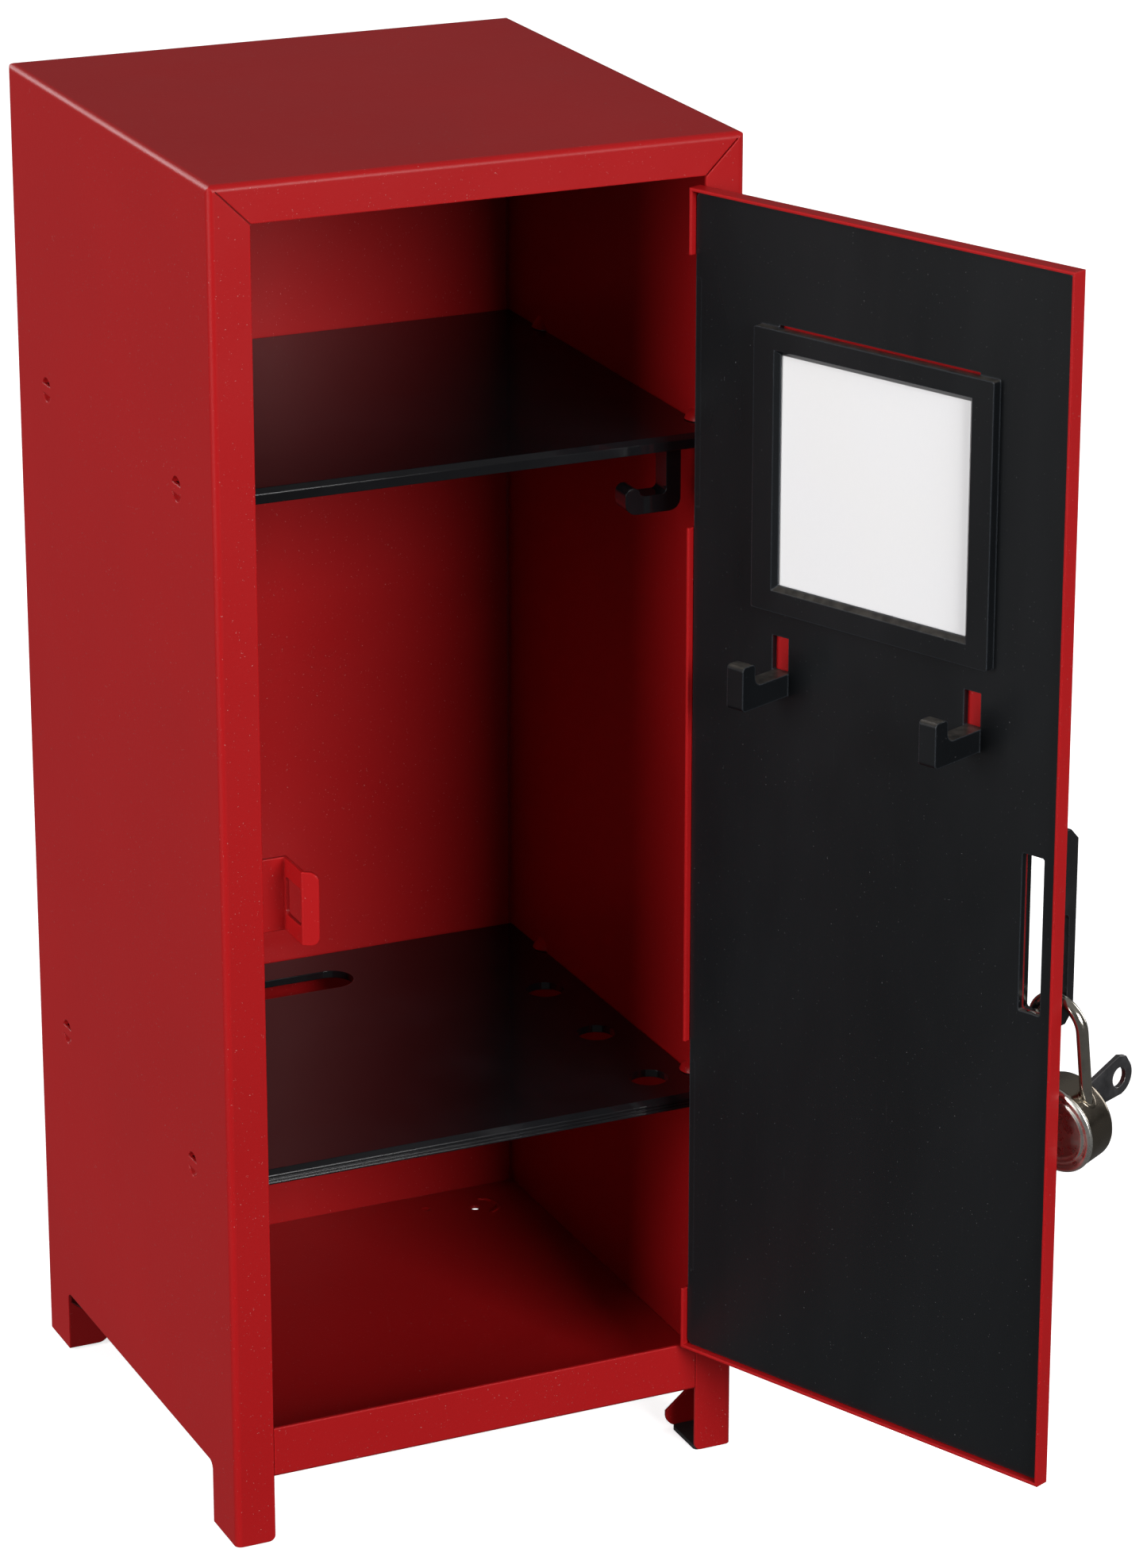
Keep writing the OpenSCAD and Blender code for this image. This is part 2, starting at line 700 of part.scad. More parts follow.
module shackle() {
    z_arc = shackle_h - leg_x;
    color(chrome) lock_pose() difference() {
        union() {
            translate([0, 0, z_arc]) rotate([90, 0, 0]) rotate_extrude(angle = 180)
                translate([leg_x, 0]) circle(wire_r, $fn = 32);
            // long leg on the slot side, short leg towards the free edge
            translate([leg_x, 0, long_end]) cylinder(h = z_arc - long_end, r = wire_r, $fn = 32);
            translate([-leg_x, 0, short_end])
                cylinder(h = z_arc - short_end, r = wire_r, $fn = 32);
        }
        // notch for the bolt in the short leg
        box([-leg_x + wire_r - 0.95, -3, plug_z - 1.3], [0, 3, plug_z + 1.3]);
        // turned groove near the end of the long leg
        translate([leg_x, 0, long_end + 0.8]) difference() {
            cylinder(h = 0.8, r = 3, $fn = 32);
            translate([0, 0, -1]) cylinder(h = 3, r = wire_r - 0.35, $fn = 32);
        }
    }
}

// turned profile about y: pts are [radius, y]
module turned(pts) {
    rotate([-90, 0, 0]) rotate_extrude($fn = 64) polygon(pts);
}

module leg_bores(grow) {
    for (s = [-1, 1]) translate([s * leg_x, 0, (s < 0 ? short_end : long_end) - 0.5])
        cylinder(h = 20, r = wire_r + grow, $fn = 32);
}

module plug_bore(grow) {
    rod_y(0, plug_z, plug_r + grow, -lock_t, 0.1, $fn = 48);
}

module padlock_shell() {
    y0 = -lock_t / 2;
    y1 = lock_t / 2 - rim_t;
    c = shell_r;
    w = lock_r - core_r - 0.02;
    color(chrome) lock_pose() difference() {
        union() {
            turned([[0, y0], [lock_r - c, y0], [lock_r, y0 + c], [lock_r, y1],
                    [lock_r - w, y1], [lock_r - w, y0 + c + 0.1], [lock_r - c - 0.4, y0 + w],
                    [0, y0 + w]]);
            rotate([-90, 0, 0]) translate([0, 0, y0 + c]) rotate_extrude($fn = 64)
                intersection() {
                    translate([lock_r - c, 0]) difference() {
                        circle(c, $fn = 32);
                        circle(c - w, $fn = 32);
                    }
                    translate([lock_r - c, -c]) square(c);
                }
        }
        leg_bores(0.12);
        plug_bore(0.05);
    }
}

module padlock_core() {
    y0 = -lock_t / 2 + 0.75;
    y1 = lock_t / 2 - 1.25;
    color(steel) lock_pose() difference() {
        turned([[0, y0], [core_r - 0.9, y0], [core_r, y0 + 0.9], [core_r, y1], [0, y1]]);
        leg_bores(0.06);
        plug_bore(0.05);
        // chamber for the bolt
        box([-leg_x, 0.05, plug_z - 2.35], [chamber_x1, 2.1, plug_z + 2.35]);
    }
}

// stepped bright rim on the side that faces the door
module padlock_rim() {
    y0 = lock_t / 2 - rim_t;
    r = lock_r;
    color(chrome) lock_pose() turned([[r - rim_w, y0], [r - 0.1, y0], [r + 0.15, y0 + 0.25],
        [r + 0.15, y0 + 0.75], [r - 0.5, y0 + rim_t], [r - 1.2, y0 + rim_t], [r - 1.45, y0 + 0.85],
        [r - 2, y0 + 0.85], [r - 2.2, y0 + 1.15], [r - 2.7, y0 + 1.15], [r - rim_w, y0 + 0.6]]);
}

module padlock_disc() {
    y0 = lock_t / 2 - rim_t;
    color(chrome) lock_pose() rod_y(0, 0, lock_r - rim_w, y0, y0 + 0.4, $fn = 64);
}

module bolt_spring() {
    // bent leaf standing at the end of the bolt's chamber
    color(steel) lock_pose() for (s = [-1, 1])
        translate([chamber_x1 - 0.35, 0.3, plug_z + s * 1.08])
            rotate([0, s * 5, 0]) translate([0, 0, -1.1]) cube([0.18, 1.5, 2.2]);
}

module keyway(w, h) {
    box([-w / 2, -lock_t, plug_z - h / 2], [w / 2, 0.4, plug_z + h / 2]);
}

module lock_plug() {
    color([0.78, 0.64, 0.35]) lock_pose() {
        difference() {
            rod_y(0, plug_z, plug_r, -lock_t / 2 - 0.25, -0.05, $fn = 48);
            keyway(1.05, 4.4);
            for (y = wafer_ys) box([-1.45, y - 0.3, plug_z - 2.75],
                                       [1.45, y + 0.3, plug_z + 2.75]);
        }
        // web that closes the inner end, and the drive pin that moves the bolt
        rod_y(0, plug_z, plug_r, -0.45, -0.05, $fn = 48);
        rod_y(bolt_turn * sin(drive_a), plug_z - bolt_turn * cos(drive_a), drive_r, -0.2, 1.9,
              $fn = 24);
    }
}

module lock_wafers() {
    color([0.8, 0.68, 0.4]) lock_pose() for (y = wafer_ys) difference() {
        box([-1.4, y - 0.22, plug_z - 2.7], [1.4, y + 0.22, plug_z + 2.7]);
        box([-0.65, y - 1, plug_z - 1.75], [0.65, y + 1, plug_z + 1.75]);
    }
}

module lock_bolt() {
    px = -bolt_turn * sin(drive_a);
    y0 = bolt_y[0];
    y1 = bolt_y[1];
    // drawn clear of the shackle, as the key's open position leaves it
    color(steel) lock_pose() translate([unlock, 0, 0]) difference() {
        union() {
            box([-2.6, y0, plug_z - 2.2], [chamber_x1 - 2.2, y1, plug_z + 2.2]);
            box([-leg_x + wire_r - 0.75, y0, plug_z - 1.1], [0, y1, plug_z + 1.1]);
        }
        // upright slot for the drive pin
        box([px - drive_r - 0.1, 0, plug_z - 1.75], [px + drive_r + 0.1, 3, plug_z + 0.5]);
    }
}

// bow of the key in (y, z), origin on the plug's axis, growing away from the lock
module key_bow_2d() {
    difference() {
        union() {
            polygon([[-1, -2.6], [-1, 2.1], [-14.9, 4.4], [-17.1, 3.4], [-18.4, 0.9],
                     [-14.8, -4.9], [-2.2, -3.6]]);
            translate([-14.6, -0.7]) circle(4.1);
        }
        translate([-14.2, -0.6]) circle(2.3);
    }
}

module key() {
    face = -lock_t / 2 - 0.3;
    color([0.2, 0.2, 0.2]) lock_pose() translate([0, 0, plug_z]) {
        translate([0, face, 0]) along_x(-key_t / 2, key_t / 2) key_bow_2d();
        difference() {
            box([-blade_t / 2, face - 1.5, -1.65], [blade_t / 2, -0.6, 1.65]);
            for (i = [0:2]) translate([0, -3.3 + i * 1.3, 1.75]) rotate([45, 0, 0])
                cube([3, 0.6, 0.6], center = true);
        }
    }
}

// ---- assembly ----

cabinet_shell();
back_panel();
floor_panel();
upper_shelf();
lower_shelf();
coat_hook();
striker();
foot_pads();
frame_hinge_leaves();
hinge_pins();
door_skin();
door_liner();
door_hinge_leaves();
picture_card();
handle();
handle_retainers();
shackle();
padlock_shell();
padlock_core();
padlock_rim();
padlock_disc();
bolt_spring();
lock_plug();
lock_wafers();
lock_bolt();
key();
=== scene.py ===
"""Looks for a desk-size steel locker: finishes for its sheet metal, mouldings and padlock, the
pieces that need a finer surface than the frame gives them, and a small daylight studio."""

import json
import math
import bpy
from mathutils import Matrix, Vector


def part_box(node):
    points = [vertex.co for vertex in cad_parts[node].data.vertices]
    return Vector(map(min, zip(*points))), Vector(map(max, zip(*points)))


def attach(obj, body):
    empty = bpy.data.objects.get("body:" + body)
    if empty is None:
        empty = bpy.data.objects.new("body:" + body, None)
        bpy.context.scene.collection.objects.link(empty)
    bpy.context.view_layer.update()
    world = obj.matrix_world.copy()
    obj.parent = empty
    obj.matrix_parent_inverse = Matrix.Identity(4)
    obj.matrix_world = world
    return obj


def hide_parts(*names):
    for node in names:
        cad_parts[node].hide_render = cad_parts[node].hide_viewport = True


bl_info = {
    "name": "Desk Locker",
    "version": (1, 0, 0),
    "blender": (4, 5, 0),
    "location": "View3D > Sidebar > Locker",
    "description": "Finishes and fine pieces for a desk-size steel locker with a padlock",
    "category": "Object",
}

import bpy
import numpy as np
from mathutils import Quaternion, Vector

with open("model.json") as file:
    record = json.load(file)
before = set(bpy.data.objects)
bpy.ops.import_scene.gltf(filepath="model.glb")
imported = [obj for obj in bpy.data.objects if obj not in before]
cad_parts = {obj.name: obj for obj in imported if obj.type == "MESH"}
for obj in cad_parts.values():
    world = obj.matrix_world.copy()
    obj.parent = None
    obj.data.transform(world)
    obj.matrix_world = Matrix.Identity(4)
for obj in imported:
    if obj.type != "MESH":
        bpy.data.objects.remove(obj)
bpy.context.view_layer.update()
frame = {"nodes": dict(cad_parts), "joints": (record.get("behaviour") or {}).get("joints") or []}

MM = 0.001
MICRON = 0.001 * MM


# ---- where the pieces hang, from the frame's own joints ----


def joint(name):
    """The frame's joint of that name."""
    return next(j for j in frame["joints"] if j["name"] == name)


def lock_axes():
    """The padlock's own axes at rest: across the shackle, towards the door, and up its legs."""
    across = -Vector(joint("padlock_swing")["axis"])
    inwards = Vector(joint("key_turn")["axis"])
    up = -Vector(joint("lock_release")["axis"])
    return np.array([across, inwards, up])


def lock_points(local, drop):
    """Points given across, inwards and up in metres from the drum's middle, in the row frame.
    The drum's middle lies drop below the place where the shackle hangs."""
    hang = np.array(joint("padlock_swing")["pos_m"])
    axes = lock_axes()
    return hang - axes[2] * drop + np.asarray(local) @ axes


def door_axes(sizes):
    """The open door's directions, level and turned by the opening angle: from the hinge line
    to the free edge, and from the hinge line towards the outer face."""
    angle = sizes.door_open
    run = np.array([-math.cos(angle), -math.sin(angle), 0.0])
    face = np.array([math.sin(angle), -math.cos(angle), 0.0])
    return run, face


def door_points(along, out, height, sizes):
    """Points on the open door, given along it and out of it from the hinge line."""
    pin = np.array(joint("door_swing")["pos_m"])
    run, face = door_axes(sizes)
    place = np.multiply.outer(np.asarray(along), run) + np.multiply.outer(np.asarray(out), face)
    place[..., 0] += pin[0]
    place[..., 1] += pin[1]
    place[..., 2] = height
    return place


# ---- surfaces ----


def grid_mesh(name, points, wrap_u=False, wrap_v=False, cap_start=False, cap_end=False):
    """A mesh from a rows x columns grid of points. Wrapped directions join their ends, and a
    cap closes the first or last row with one many-sided face."""
    rows, cols = points.shape[:2]
    i = np.arange(rows if wrap_u else rows - 1)
    j = np.arange(cols if wrap_v else cols - 1)
    a = (i[:, None] * cols + j[None, :]).ravel()
    b = (i[:, None] * cols + (j[None, :] + 1) % cols).ravel()
    c = (((i[:, None] + 1) % rows) * cols + (j[None, :] + 1) % cols).ravel()
    d = (((i[:, None] + 1) % rows) * cols + j[None, :]).ravel()
    faces = np.stack([a, b, c, d], axis=1).tolist()
    if cap_start:
        faces.append(list(range(cols))[::-1])
    if cap_end:
        faces.append(list(range((rows - 1) * cols, rows * cols)))
    mesh = bpy.data.meshes.new(name)
    mesh.from_pydata(points.reshape(-1, 3).tolist(), [], faces)
    mesh.validate()
    mesh.update()
    return mesh


def volume_of(mesh):
    """Signed volume of a mesh, as the sum of the tetrahedra from its vertices' mean."""
    mesh.calc_loop_triangles()
    count = len(mesh.loop_triangles)
    corners = np.empty(count * 3, dtype=np.int32)
    mesh.loop_triangles.foreach_get("vertices", corners)
    places = np.empty(len(mesh.vertices) * 3)
    mesh.vertices.foreach_get("co", places)
    places = places.reshape(-1, 3)
    places = places - places.mean(axis=0)
    t = places[corners.reshape(-1, 3)]
    return float(np.einsum("ij,ij->", t[:, 0], np.cross(t[:, 1], t[:, 2]))) / 6


def piece(name, mesh, body, material, replaced=(), smooth_angle=35):
    """An object made of a mesh: faces turned outwards, shaded smooth below an angle, and
    riding on a body of the frame."""
    if volume_of(mesh) < 0:
        mesh.flip_normals()
    made = bpy.data.objects.new(name, mesh)
    bpy.context.scene.collection.objects.link(made)
    mesh.materials.append(material)
    mesh.shade_smooth()
    mesh.set_sharp_from_angle(angle=math.radians(smooth_angle))
    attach(made, body)
    if replaced:
        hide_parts(*replaced)
    return made


def rounded_profile(corners, radius, steps=5):
    """An outline with each corner between its ends cut back and joined by a quadratic
    curve: (1-t)^2 of the start, 2t(1-t) of the corner and t^2 of the end."""
    corners = np.asarray(corners, dtype=float)
    out = [corners[0]]
    t = np.linspace(0, 1, steps)[:, None]
    for before, corner, after in zip(corners[:-2], corners[1:-1], corners[2:]):
        back, on = before - corner, after - corner
        reach = min(radius, np.linalg.norm(back) / 2, np.linalg.norm(on) / 2)
        start = corner + back / np.linalg.norm(back) * reach
        end = corner + on / np.linalg.norm(on) * reach
        out.extend((1 - t) ** 2 * start + 2 * t * (1 - t) * corner + t**2 * end)
    out.append(corners[-1])
    return np.array(out)


def turned(profile, sides):
    """Points of a profile of (radius, depth) turned about the lock's inward axis."""
    angle = np.linspace(0, 2 * math.pi, sides, endpoint=False)
    radius, depth = profile[:, 0][:, None], profile[:, 1][:, None]
    return np.stack(
        [radius * np.cos(angle), depth + 0 * angle, radius * np.sin(angle)], axis=-1
    )


# ---- node helpers ----


class Finish:
    """A material being built: its node tree, with short calls for the nodes used here."""

    def __init__(self, name):
        self.material = bpy.data.materials.new(name)
        self.material.use_nodes = True
        self.nodes = self.material.node_tree.nodes
        self.links = self.material.node_tree.links
        self.shader = self.nodes["Principled BSDF"]
        self.where = self.nodes.new("ShaderNodeTexCoord").outputs["Object"]

    def put(self, socket, value):
        """Links an output to a shader socket, or sets its value."""
        target = self.shader.inputs[socket]
        if isinstance(value, bpy.types.NodeSocket):
            self.links.new(value, target)
        else:
            target.default_value = value

    def stretched(self, scale, turn=(0, 0, 0)):
        """Object coordinates scaled apart along each axis, after a turn."""
        node = self.nodes.new("ShaderNodeMapping")
        node.inputs["Scale"].default_value = scale
        node.inputs["Rotation"].default_value = turn
        self.links.new(self.where, node.inputs["Vector"])
        return node.outputs["Vector"]

    def noise(self, scale, detail=3.0, rough=0.5, where=None, distortion=0.0):
        """Noise whose features are about 1/scale metres across."""
        node = self.nodes.new("ShaderNodeTexNoise")
        node.inputs["Scale"].default_value = scale
        node.inputs["Detail"].default_value = detail
        node.inputs["Roughness"].default_value = rough
        node.inputs["Distortion"].default_value = distortion
        self.links.new(where or self.where, node.inputs["Vector"])
        return node.outputs["Fac"]

    def ramp(self, fac, low, high, start=0.0, end=1.0):
        """fac from start to end becomes low to high, held at both ends."""
        node = self.nodes.new("ShaderNodeMapRange")
        node.inputs["From Min"].default_value = start
        node.inputs["From Max"].default_value = end
        node.inputs["To Min"].default_value = low
        node.inputs["To Max"].default_value = high
        self.links.new(fac, node.inputs["Value"])
        return node.outputs["Result"]

    def maths(self, operation, a, b):
        """One sum of two values or outputs."""
        node = self.nodes.new("ShaderNodeMath")
        node.operation = operation
        for socket, value in zip(node.inputs, (a, b)):
            if isinstance(value, bpy.types.NodeSocket):
                self.links.new(value, socket)
            else:
                socket.default_value = value
        return node.outputs["Value"]

    def colours(self, fac, first, second):
        """A mix of two colours, or of an output and a colour."""
        node = self.nodes.new("ShaderNodeMix")
        node.data_type = "RGBA"
        self.links.new(fac, node.inputs["Factor"])
        for socket, value in ((node.inputs[6], first), (node.inputs[7], second)):
            if isinstance(value, bpy.types.NodeSocket):
                self.links.new(value, socket)
            else:
                socket.default_value = (*value, 1.0)
        return node.outputs[2]

    def soft_edges(self, radius):
        """A normal that rolls over every edge with this radius."""
        node = self.nodes.new("ShaderNodeBevel")
        node.samples = 4
        node.inputs["Radius"].default_value = radius
        return node.outputs["Normal"]

    def relief(self, height, depth, under=None):
        """Raises the surface by depth metres times the height output."""
        node = self.nodes.new("ShaderNodeBump")
        node.inputs["Strength"].default_value = 1.0
        node.inputs["Distance"].default_value = depth
        self.links.new(height, node.inputs["Height"])
        if under is not None:
            self.links.new(under, node.inputs["Normal"])
        return node.outputs["Normal"]

    def edge_mask(self, radius, low=0.985, high=0.75):
        """1 on an edge and 0 on the flat, from how far the rolled normal leans."""
        rolled = self.soft_edges(radius)
        flat = self.nodes.new("ShaderNodeNewGeometry").outputs["Normal"]
        node = self.nodes.new("ShaderNodeVectorMath")
        node.operation = "DOT_PRODUCT"
        self.links.new(rolled, node.inputs[0])
        self.links.new(flat, node.inputs[1])
        return self.ramp(node.outputs["Value"], 0.0, 1.0, low, high)

    def facing_up(self, low=0.35, high=0.9):
        """0 on walls and 1 on ledges, from the height of the true normal."""
        split = self.nodes.new("ShaderNodeSeparateXYZ")
        facing = self.nodes.new("ShaderNodeNewGeometry").outputs["Normal"]
        self.links.new(facing, split.inputs[0])
        return self.ramp(split.outputs["Z"], 0.0, 1.0, low, high)


# colours of what lies on the finishes
ENAMEL_DUST = (0.62, 0.34, 0.32)
LINER_SCRATCH = (0.07, 0.072, 0.076)
LINER_DUST = (0.085, 0.078, 0.068)
LINER_SPECK = (0.16, 0.16, 0.165)
BARE_STEEL = (0.42, 0.41, 0.4)


def scaled(colour, by):
    """A colour made lighter or darker."""
    return tuple(min(1.0, c * by) for c in colour[:3])


def enamel(name, colour):
    """Stoved enamel on sheet: a faint orange peel, slow drifts in shade and gloss, specks
    of dust, and a painted highlight: every edge is drawn lighter, as if it caught the light."""
    f = Finish(name)
    base = tuple(colour[:3])
    drift = f.ramp(f.noise(14.0, 2.0), 0.0, 1.0, 0.3, 0.7)
    shade = f.colours(drift, scaled(base, 0.96), scaled(base, 1.03))
    # painted highlight: the edges are mixed towards 1.3 times the enamel's colour, for light
    # caught on their rounding
    edge_highlit = f.colours(f.edge_mask(0.9 * MM), shade, scaled(base, 1.3))
    dust = f.ramp(f.noise(2600.0, 1.0), 0.0, 0.5, 0.74, 0.8)
    f.put("Base Color", f.colours(dust, edge_highlit, ENAMEL_DUST))
    f.put("Roughness", f.ramp(f.noise(45.0, 4.0), 0.32, 0.37, 0.3, 0.7))
    f.put("Specular IOR Level", 0.24)
    peel = f.noise(900.0, 1.5)
    f.put("Normal", f.relief(peel, 12 * MICRON, f.soft_edges(0.5 * MM)))
    return f.material


def shelf_plastic(name, colour):
    """Pressed plastic with a high gloss: long hair scratches and a light film of dust."""
    f = Finish(name)
    base = tuple(colour[:3])
    hairs = f.noise(60.0, 6.0, 0.7, f.stretched((1.0, 22.0, 22.0), (0, 0, 0.35)))
    film = f.ramp(f.noise(30.0, 5.0, 0.6), 0.0, 1.0, 0.45, 0.75)
    f.put("Base Color", f.colours(film, base, scaled(base, 1.8)))
    gloss = f.maths("ADD", f.ramp(film, 0.07, 0.14), f.ramp(hairs, 0.0, 0.07, 0.56, 0.72))
    f.put("Roughness", gloss)
    f.put("Specular IOR Level", 0.34)
    f.put("Normal", f.relief(f.noise(70.0, 1.0), 20 * MICRON, f.soft_edges(0.3 * MM)))
    return f.material


def liner_plastic(name, colour):
    """Satin moulding: fine pebble, wiped smears, thin scratches, specks, dust that has
    settled on its ledges, and a painted highlight along every edge."""
    f = Finish(name)
    base = tuple(colour[:3])
    smear = f.noise(16.0, 4.0, 0.6, f.stretched((1.0, 1.0, 0.4)), 0.6)
    scratch_a = f.noise(55.0, 7.0, 0.75, f.stretched((30.0, 30.0, 1.0), (0.5, 0.3, 0)))
    scratch_b = f.noise(48.0, 7.0, 0.75, f.stretched((26.0, 26.0, 1.0), (-0.7, 0.2, 0.4)))
    hairs = f.maths(
        "MAXIMUM",
        f.ramp(scratch_a, 0.0, 1.0, 0.66, 0.74),
        f.ramp(scratch_b, 0.0, 1.0, 0.68, 0.76),
    )
    specks = f.ramp(f.noise(2400.0, 1.0), 0.0, 0.6, 0.75, 0.82)
    worn = f.colours(f.ramp(smear, 0.0, 1.0, 0.35, 0.75), base, scaled(base, 1.5))
    marked = f.colours(f.maths("MULTIPLY", hairs, 0.3), worn, LINER_SCRATCH)
    ledges = f.facing_up()
    drifts = f.ramp(f.noise(420.0, 4.0), 0.25, 0.85, 0.3, 0.65)
    dusty = f.colours(f.maths("MULTIPLY", ledges, drifts), marked, LINER_DUST)
    # painted highlight: every edge is drawn ten times lighter than the liner, for light caught
    # on its rounding
    edged = f.colours(f.edge_mask(0.5 * MM), dusty, scaled(base, 10.0))
    f.put("Base Color", f.colours(specks, edged, LINER_SPECK))
    f.put("Roughness", f.ramp(smear, 0.26, 0.34, 0.3, 0.75))
    f.put("Specular IOR Level", 0.34)
    pebble = f.noise(1500.0, 2.0)
    f.put("Normal", f.relief(pebble, 10 * MICRON, f.soft_edges(0.4 * MM)))
    return f.material


def handle_plastic(name, colour):
    """Handled plastic: half gloss, rubbed shinier where fingers go, pale on worn edges."""
    f = Finish(name)
    base = tuple(colour[:3])
    rub = f.noise(110.0, 4.0, 0.6)
    edged = f.colours(f.edge_mask(0.4 * MM), base, scaled(base, 6.0))
    f.put("Base Color", f.colours(f.ramp(rub, 0.0, 0.5, 0.5, 0.8), edged, scaled(base, 2.0)))
    f.put("Roughness", f.ramp(rub, 0.18, 0.34, 0.3, 0.7))
    pebble = f.noise(1300.0, 2.0)
    f.put("Normal", f.relief(pebble, 8 * MICRON, f.soft_edges(0.3 * MM)))
    return f.material


def foot_rubber(name, colour):
    """Rubber with a dull bloom and grit pressed into it."""
    f = Finish(name)
    base = tuple(colour[:3])
    bloom = f.ramp(f.noise(160.0, 5.0, 0.65), 0.0, 1.0, 0.35, 0.75)
    f.put("Base Color", f.colours(bloom, base, scaled(base, 2.6)))
    f.put("Roughness", f.ramp(bloom, 0.7, 0.92))
    grit = f.noise(2200.0, 3.0)
    f.put("Normal", f.relief(grit, 40 * MICRON, f.soft_edges(0.4 * MM)))
    return f.material


def card_stock(name, colour):
    """Uncoated card: paper fibres, a slight yellowing in patches, and a soft sheen."""
    f = Finish(name)
    base = tuple(colour[:3])
    fibres = f.noise(1800.0, 4.0, 0.7, f.stretched((1.0, 1.0, 0.35), (0.4, 0.2, 0)))
    tint = f.colours(f.noise(30.0, 2.0), base, (base[0], base[1] * 0.99, base[2] * 0.95))
    f.put("Base Color", f.colours(f.ramp(fibres, 0.0, 0.12), tint, scaled(base, 0.8)))
    f.put("Roughness", 0.62)
    f.put("Sheen Weight", 0.05)
    f.put("Normal", f.relief(fibres, 12 * MICRON))
    return f.material


def bright_plate(name, colour, rough=0.1):
    """Nickel-chrome plate: mirror bright, with polishing lines, haze and fine handling
    marks, and a dark film in patches."""
    f = Finish(name)
    base = tuple(colour[:3])
    haze = f.noise(230.0, 5.0, 0.6)
    lines = f.noise(900.0, 6.0, 0.7, f.stretched((8.0, 1.0, 8.0)))
    film = f.ramp(haze, 0.0, 0.7, 0.5, 0.72)
    f.put("Base Color", f.colours(film, base, scaled(base, 0.62)))
    f.put("Metallic", 1.0)
    extra = f.ramp(lines, 0.0, 0.12, 0.5, 0.75)
    f.put("Roughness", f.maths("ADD", f.ramp(haze, rough * 0.7, rough * 2.0, 0.3, 0.7), extra))
    f.put("Normal", f.relief(lines, 2.5 * MICRON, f.soft_edges(0.15 * MM)))
    return f.material


def turned_metal(name, colour, rough=0.3):
    """Machined metal: close tool lines and dull patches."""
    f = Finish(name)
    base = tuple(colour[:3])
    lines = f.noise(500.0, 5.0, 0.7, f.stretched((1.0, 1.0, 9.0)))
    patch = f.ramp(f.noise(180.0, 4.0), 0.0, 1.0, 0.4, 0.7)
    f.put("Base Color", f.colours(patch, base, scaled(base, 0.7)))
    f.put("Metallic", 1.0)
    f.put("Roughness", f.ramp(patch, rough, rough + 0.12))
    f.put("Normal", f.relief(lines, 6 * MICRON, f.soft_edges(0.2 * MM)))
    return f.material


def gunmetal(name, colour):
    """Dark pressed steel: blue-black, brighter where its edges have worn through."""
    f = Finish(name)
    base = tuple(colour[:3])
    cloud = f.noise(260.0, 5.0, 0.65)
    dark = f.colours(f.ramp(cloud, 0.0, 1.0, 0.3, 0.75), scaled(base, 0.55), base)
    f.put("Base Color", f.colours(f.edge_mask(0.3 * MM), dark, BARE_STEEL))
    f.put("Metallic", 0.9)
    f.put("Roughness", f.ramp(cloud, 0.26, 0.5, 0.3, 0.75))
    f.put("Normal", f.relief(cloud, 10 * MICRON, f.soft_edges(0.2 * MM)))
    return f.material


def studio_floor(name, colour):
    """Pale seamless paper that glows a little, so that it stays even."""
    f = Finish(name)
    base = tuple(colour[:3])
    f.put("Base Color", f.colours(f.noise(3.0, 2.0), base, scaled(base, 0.985)))
    f.put("Roughness", 0.9)
    f.put("Specular IOR Level", 0.1)
    f.put("Emission Color", (*base, 1.0))
    f.put("Emission Strength", 0.78)
    return f.material


def finish_nodes(material, *names):
    """Gives frame nodes a finish."""
    for name in names:
        mesh = frame["nodes"][name].data
        mesh.materials.clear()
        mesh.materials.append(material)


def colour_prop(name, description, default):
    """A colour that a user may change."""
    return bpy.props.FloatVectorProperty(
        name=name,
        description=description,
        subtype="COLOR",
        size=3,
        min=0,
        max=1,
        default=default,
    )


def length_prop(name, description, millimetres):
    """A length, kept in metres."""
    return bpy.props.FloatProperty(
        name=name, description=description, unit="LENGTH", precision=5, default=millimetres * MM
    )


class LockerFinishes(bpy.types.PropertyGroup):
    """Colours of the locker's finishes."""

    enamel: colour_prop("Enamel", "Colour of the sheet metal's enamel", (0.4, 0.0075, 0.009))
    shelf: colour_prop("Shelf", "Colour of the shelves and their hook", (0.006, 0.006, 0.007))
    liner: colour_prop("Liner", "Colour of the door's liner", (0.005, 0.0058, 0.0068))
    handle: colour_prop("Handle", "Colour of the handle", (0.008, 0.008, 0.009))
    rubber: colour_prop("Feet", "Colour of the foot pads", (0.012, 0.012, 0.012))
    card: colour_prop("Card", "Colour of the blank picture card", (0.9, 0.9, 0.925))
    wire: colour_prop("Wire", "Colour of the shackle's plate", (0.62, 0.58, 0.5))
    drum: colour_prop("Drum", "Colour of the padlock's dark plate", (0.26, 0.225, 0.18))
    rim: colour_prop("Rim", "Colour of the padlock's bright rim", (0.88, 0.86, 0.8))
    steel: colour_prop("Steel", "Colour of plain steel", (0.5, 0.49, 0.47))
    brass: colour_prop("Brass", "Colour of the lock's plug", (0.74, 0.55, 0.25))
    key: colour_prop("Key", "Colour of the key", (0.2, 0.2, 0.21))
    floor: colour_prop("Floor", "Colour of the studio floor", (0.97, 0.97, 0.97))


